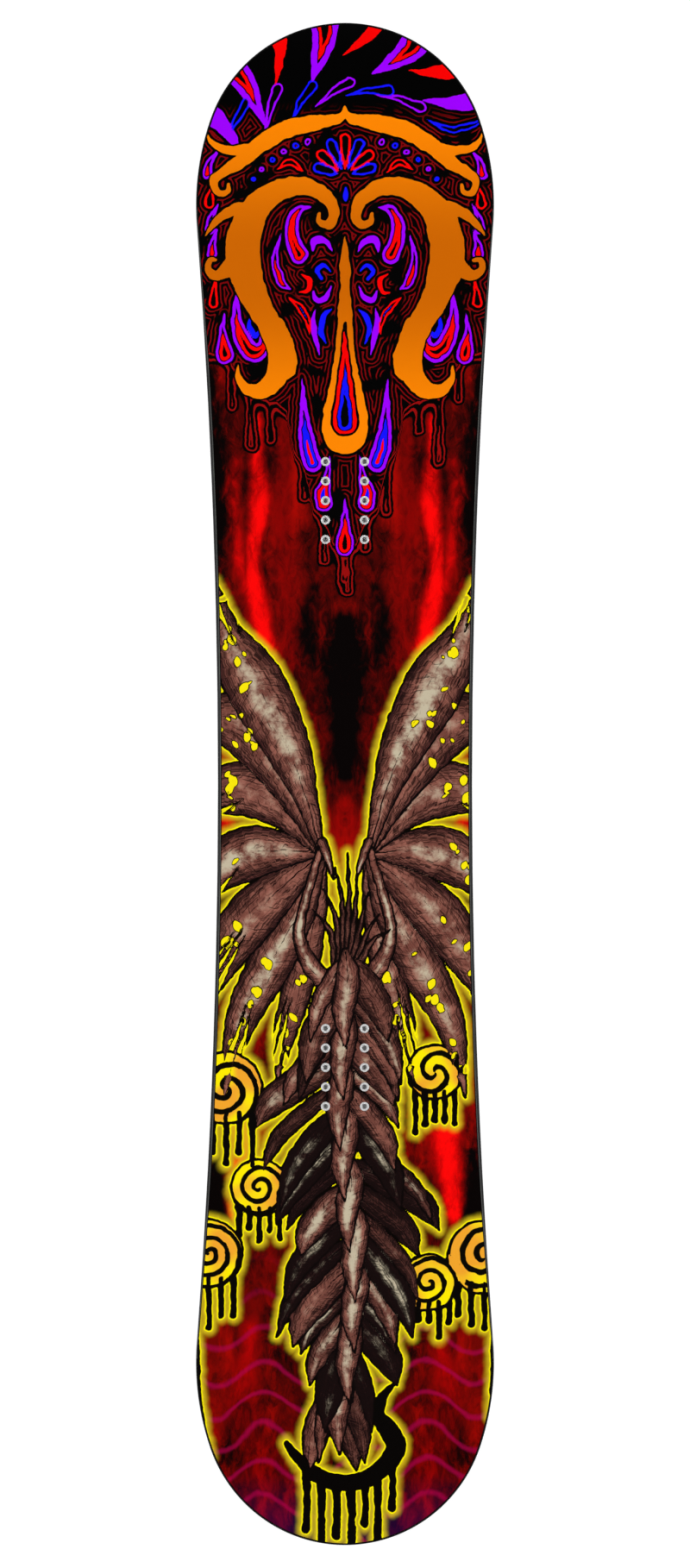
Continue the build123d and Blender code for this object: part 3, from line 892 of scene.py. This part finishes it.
def leaf_ink(s):
    """Leaves shaded as with a pencil: light along the middle, hatching, folds, veins and torn holes."""
    run, off, murk = s.attribute("run"), s.attribute("off"), s.attribute("murk")
    across = s.math("ABSOLUTE", s.attribute("across"))
    blotch = s.noise(s.place(), (44, 44, 1), 5, 0.66)
    light = s.times(s.fade(across, 0.85, 0.0), s.attribute("light"))
    light = s.times(light, s.stretch(blotch, 0.36, 0.66, 0.3, 1.4))
    skin = s.blend(s.fade(blotch, 0.38, 0.62), ink(116, 68, 58), ink(154, 96, 82))
    skin = s.blend(s.fade(across, 0.5, 1.05), skin, ink(70, 34, 34))
    skin = s.blend(s.times(murk, 0.8), skin, ink(44, 22, 22))
    skin = s.blend(s.fade(light, 0.28, 1.05), skin, ink(196, 184, 158))

    shade = s.plus(s.times(across, 0.55), s.times(murk, 0.4))
    shade = s.minus(s.plus(shade, 0.3), s.times(light, 0.55))
    slant = s.plus(run, s.times(s.math("ABSOLUTE", off), 0.7))
    short = s.noise(s.vector(s.times(slant, 0.8), s.times(off, 0.1)), 1, 3, 0.6, 0.3)
    long = s.noise(s.vector(s.times(run, 0.045), s.times(off, 0.7)), 1, 3, 0.6, 0.4)
    limit = s.minus(0.63, s.times(shade, 0.21))
    for strokes, weight in ((short, 0.62), (long, 0.78)):
        pencil = s.fade(s.minus(strokes, limit), -0.02, 0.06)
        skin = s.blend(s.times(pencil, weight), skin, ink(16, 7, 7))

    folds = s.times(s.band(across, 0.47, 0.51, 0.03), s.fade(short, 0.38, 0.52))
    skin = s.blend(s.times(folds, 0.75), skin, ink(24, 10, 10))
    vein = s.math("FLOORED_MODULO", slant, VEIN_PITCH)
    veins = s.times(s.band(vein, 0.0, 1.1), s.fade(across, 0.06, 0.4))
    skin = s.blend(s.times(veins, 0.7), skin, ink(20, 8, 8))
    hole = s.attribute("hole")
    skin = s.blend(s.inside(hole, 0.8), skin, ink(10, 4, 0))
    skin = s.blend(s.inside(hole, -0.1), skin, ink(250, 232, 10))
    return s.blend(s.fade(s.attribute("line"), 1.15, 0.75), skin, ink(10, 4, 4))


def printed_topsheet():
    """The print from the back to the front, under a clear glossy sheet with a faint orange peel."""
    s = Shader("printed_topsheet")
    place = s.place()
    _, y, _ = s.axes(place)
    colour = smoke_ink(s, place, y)
    colour = wave_ink(s, colour, y)
    colour = ground_ink(s, colour, y)
    colour = ornament_ink(s, colour, y)
    colour = halo_ink(s, colour)
    colour = disc_ink(s, colour)
    colour = s.blend(s.inside(s.attribute("leaf")), colour, leaf_ink(s))
    colour = s.blend(s.fade(s.attribute("border"), 1.1, 0.8), colour, BLACK)
    s.set(base_color=colour, roughness=0.24, coat_weight=0.3, coat_roughness=0.06, specular_ior_level=0.2)
    s.bump(s.noise(place, 420, 2), 0.05, 0.0004)
    return s.material


sheet.data.materials.append(printed_topsheet())


# ---- the layers' own materials
def moulded_plastic():
    """Black ABS of sidewalls and tip spacers, machined and a little scuffed."""
    s = Shader("black_abs")
    place = s.place()
    scuff = s.noise(place, (900, 30, 900), 4, 0.6)
    cloud = s.noise(place, 38, 3)
    colour = s.blend(s.fade(cloud, 0.35, 0.7), ink(4, 4, 5), ink(11, 11, 12))
    colour = s.blend(s.fade(scuff, 0.66, 0.8), colour, ink(32, 32, 33))
    wear = s.plus(s.times(cloud, 0.5), s.times(scuff, 0.5))
    s.set(base_color=colour, roughness=s.stretch(wear, 0.3, 0.7, 0.5, 0.72), specular_ior_level=0.12)
    s.bump(scuff, 0.25, 0.0002)
    return s.material


def brushed_steel():
    """The ground running edge: fine lines along it and darker spots."""
    s = Shader("edge_steel")
    place = s.place()
    lines = s.noise(place, (2600, 40, 2600), 4, 0.7)
    spots = s.noise(place, 160, 4, 0.7)
    colour = s.blend(s.fade(lines, 0.3, 0.7), ink(158, 160, 164), ink(208, 210, 213))
    colour = s.blend(s.fade(spots, 0.62, 0.74), colour, ink(112, 104, 96))
    wear = s.plus(s.times(lines, 0.6), s.times(spots, 0.4))
    rough = s.stretch(wear, 0.3, 0.7, 0.2, 0.44)
    s.set(base_color=colour, metallic=1.0, roughness=rough, anisotropic=0.4)
    s.bump(lines, 0.3, 0.0001)
    return s.material


def running_base():
    """Sintered base with its stone-ground structure along the deck."""
    s = Shader("sintered_base")
    place = s.place()
    grind = s.noise(place, (1700, 24, 1), 3, 0.6)
    cross = s.noise(place, (620, 150, 1), 2, 0.5, 0.4)
    speck = s.noise(place, 900, 2, 0.6)
    colour = s.blend(s.fade(grind, 0.35, 0.65), ink(17, 17, 19), ink(33, 33, 36))
    colour = s.blend(s.fade(speck, 0.6, 0.75), colour, ink(58, 58, 62))
    s.set(base_color=colour, roughness=s.stretch(grind, 0.3, 0.7, 0.34, 0.56), specular_ior_level=0.45)
    s.bump(s.plus(grind, s.times(cross, 0.6)), 0.35, 0.0002)
    return s.material


def glass_laminate():
    """Triaxial glass cloth in resin: three directions of fibre under an uneven gloss."""
    s = Shader("glass_laminate")
    x, y, _ = s.axes(s.place())
    combs = []
    for slope in (0.0, 1.0, -1.0):
        across = s.plus(x, s.times(y, slope))
        combs.append(s.math("SINE", s.times(across, 3300.0 / math.hypot(1, slope))))
    threads = s.math("MAXIMUM", s.math("MAXIMUM", combs[0], combs[1]), combs[2])
    resin = s.noise(s.place(), 60, 3)
    colour = s.blend(s.fade(threads, 0.1, 0.95), ink(30, 32, 26), ink(76, 82, 66))
    colour = s.blend(s.fade(resin, 0.35, 0.7), colour, ink(24, 25, 20))
    s.set(base_color=colour, roughness=s.stretch(resin, 0.3, 0.7, 0.22, 0.42))
    s.bump(threads, 0.2, 0.0002)
    return s.material


def damping_rubber():
    """Grainy black rubber foil."""
    s = Shader("damping_rubber")
    grain = s.noise(s.place(), 1500, 3, 0.7)
    s.set(base_color=s.blend(s.fade(grain, 0.35, 0.7), ink(16, 16, 16), ink(34, 33, 32)), roughness=0.82)
    s.bump(grain, 0.5, 0.0002)
    return s.material


def fleece():
    """Chopped glass mat under the insert flanges."""
    s = Shader("insert_mat")
    place = s.place()
    along = s.noise(place, (90, 1500, 1), 2)
    fibre = s.math("MAXIMUM", s.noise(place, (1500, 90, 1), 2), along)
    colour = s.blend(s.fade(fibre, 0.45, 0.7), ink(168, 166, 150), ink(226, 224, 212))
    s.set(base_color=colour, roughness=0.75)
    s.bump(fibre, 0.4, 0.0002)
    return s.material


def wood(name, pale, dark, seed):
    """Core wood with its grain along the deck."""
    s = Shader(name)
    x, y, z = s.axes(s.place())
    moved = s.vector(s.plus(x, seed * 0.37), y, z)
    wander = s.noise(moved, (9, 1.1, 9), 3)
    rings = s.math("SINE", s.plus(s.times(x, 900.0), s.times(wander, 46.0)))
    pores = s.noise(moved, (1400, 26, 1400), 3, 0.6)
    colour = s.blend(s.fade(rings, -0.6, 0.9), pale, dark)
    colour = s.blend(s.fade(pores, 0.58, 0.72), colour, ink(120, 88, 56))
    s.set(base_color=colour, roughness=s.stretch(pores, 0.3, 0.7, 0.52, 0.72))
    s.bump(pores, 0.3, 0.0002)
    return s.material


def matching(*starts):
    """The CAD nodes whose names start so."""
    return [name for name in nodes if name.startswith(starts)]


dress(moulded_plastic(), *matching("sidewall", "nose_spacer", "tail_spacer"))
dress(brushed_steel(), *matching("steel_edge"))
dress(running_base(), "running_base")
dress(glass_laminate(), "lower_glass_mat", "upper_glass_mat")
dress(damping_rubber(), *matching("damping_foil"))
dress(fleece(), *matching("insert_retention_mat"))
poplar = wood("core_poplar", ink(226, 206, 166), ink(196, 168, 120), 1)
beech = wood("core_beech", ink(206, 160, 116), ink(168, 118, 78), 2)
for name in matching("core_stringer"):
    number = name.rsplit("_", 1)[1]
    dress(beech if number in ("2", "4") else poplar, name)


# ---- threaded inserts
FLANGE_RADIUS = 8.5
FLANGE_BOTTOM = 3.0
FLANGE_TOP = 4.0
BORE_FLOOR = 4.0
THREAD_MINOR = 2.5
THREAD_MAJOR = 3.0
THREAD_PITCH = 1.0
THREAD_STEP = 0.125  # height between the thread's rings
THREAD_RUN_IN = 0.8  # above the floor, where the thread grows to its full depth
SINK_RADIUS = 3.2
SINK_DEPTH = 0.7
CHAMFER = 0.2
HAIRLINE = 0.03  # gap to the sheet round the barrel
SEGMENTS = 40


def thread_ring(angle, z):
    """The bore's radius at a height, all the way round: a thread with flat crests."""
    phase = (z / THREAD_PITCH - angle / (2 * math.pi)) % 1.0
    crest = np.clip(1.6 * np.abs(2 * phase - 1) - 0.3, 0, 1)
    fade_in = min((z - BORE_FLOOR) / THREAD_RUN_IN, 1.0)
    return THREAD_MAJOR - (THREAD_MAJOR - THREAD_MINOR) * (1 - (1 - crest) * fade_in)


def insert_mesh():
    """One turned insert: rings of vertices round its axis, from the bore's floor over the face to below."""
    angle = np.linspace(0, 2 * math.pi, SEGMENTS, endpoint=False)
    sink_z = DECK_TOP - SINK_DEPTH
    barrel = BARREL_RADIUS - HAIRLINE
    bore = [(0.4, BORE_FLOOR), (1.6, BORE_FLOOR), (THREAD_MINOR, BORE_FLOOR)]
    thread = [(thread_ring(angle, z), z) for z in np.arange(BORE_FLOOR + 0.1, sink_z, THREAD_STEP)]
    face = [(THREAD_MINOR + 0.05, sink_z), (SINK_RADIUS - 0.06, DECK_TOP - 0.08)]
    face += [(SINK_RADIUS + 0.04, DECK_TOP - 0.01), (3.5, DECK_TOP), (4.0, DECK_TOP)]
    face += [(BARREL_RADIUS - 0.28, DECK_TOP), (BARREL_RADIUS - 0.06, DECK_TOP - 0.12)]
    outside = [(barrel, DECK_TOP - 0.3), (barrel, FLANGE_TOP + CHAMFER), (BARREL_RADIUS + 0.15, FLANGE_TOP)]
    flange = [(FLANGE_RADIUS - CHAMFER, FLANGE_TOP), (FLANGE_RADIUS, FLANGE_TOP - 0.15)]
    flange += [(FLANGE_RADIUS, FLANGE_BOTTOM + 0.15), (FLANGE_RADIUS - CHAMFER, FLANGE_BOTTOM)]
    flange += [(0.4, FLANGE_BOTTOM)]
    rings = bore + thread + face + outside + flange
    level = np.ones(SEGMENTS)
    circles = [np.stack([r * np.cos(angle), r * np.sin(angle), z * level], 1) for r, z in rings]
    faces = [
        (k * SEGMENTS + i, k * SEGMENTS + j, (k + 1) * SEGMENTS + j, (k + 1) * SEGMENTS + i)
        for k in range(len(rings) - 1)
        for i in range(SEGMENTS)
        for j in ((i + 1) % SEGMENTS,)
    ]
    last = (len(rings) - 1) * SEGMENTS
    faces += [tuple(range(SEGMENTS))[::-1], tuple(range(last, last + SEGMENTS))]
    return np.concatenate(circles), faces


def turned_steel():
    """Stainless insert: fine rings from the lathe on its face, and near-white specks down the thread that are
    painted glints.
    """
    s = Shader("insert_steel")
    radius = s.attribute("radius")
    turned = s.noise(s.vector(s.times(radius, 9.0), 0.0), 1, 2, 0.6)
    speck = s.noise(s.place(), 900, 3, 0.6)
    colour = s.blend(s.fade(turned, 0.35, 0.65), ink(196, 197, 198), ink(232, 232, 230))
    colour = s.blend(s.fade(speck, 0.6, 0.75), colour, ink(150, 150, 150))
    # painted glints: near-white specks mottle the thread's colour where light would catch its crests
    thread = s.blend(s.fade(speck, 0.4, 0.6), ink(196, 196, 197), ink(250, 250, 250))
    colour = s.blend(s.fade(radius, 3.3, 3.0), colour, thread)
    s.set(base_color=colour, metallic=0.25, roughness=s.stretch(turned, 0.3, 0.7, 0.3, 0.5))
    s.bump(turned, 0.3, 0.0001)
    return s.material


INSERT_SHARP_ANGLE = 30.0
turned = turned_steel()
one, one_faces = insert_mesh()
for end, pack in ((1, "front"), (-1, "rear")):
    spots = [(x, y) for e, x, y in insert_spots() if e == end]
    vertices = np.concatenate([one + (x, y, 0) for x, y in spots])
    faces = [tuple(i + k * len(one) for i in face) for k in range(len(spots)) for face in one_faces]
    piece = mesh_object("turned_inserts_" + pack, vertices, faces, INSERT_SHARP_ANGLE)
    store(piece.data, "radius", np.tile(np.hypot(one[:, 0], one[:, 1]), len(spots)))
    piece.data.materials.append(turned)
    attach(piece, "root")
    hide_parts("inserts_" + pack)


# ---- floor
FLOOR_REACH = 2e5
FLOOR_Z = -0.2  # just clear of the base
FLOOR_GREY = 0.3
FLOOR_GLOW = 0.84  # with the studio's light on top the floor is white, and shadows on it stay faint

corners = [(x * FLOOR_REACH, y * FLOOR_REACH, FLOOR_Z) for x, y in ((-1, -1), (1, -1), (1, 1), (-1, 1))]
floor = mesh_object("floor", corners, [(0, 1, 2, 3)])
pale = Shader("pale_floor")
pale.set(base_color=(FLOOR_GREY, FLOOR_GREY, FLOOR_GREY, 1.0), roughness=0.9, specular_ior_level=0.1)
pale.set(emission_color=(1.0, 1.0, 1.0, 1.0), emission_strength=FLOOR_GLOW)
floor.data.materials.append(pale.material)
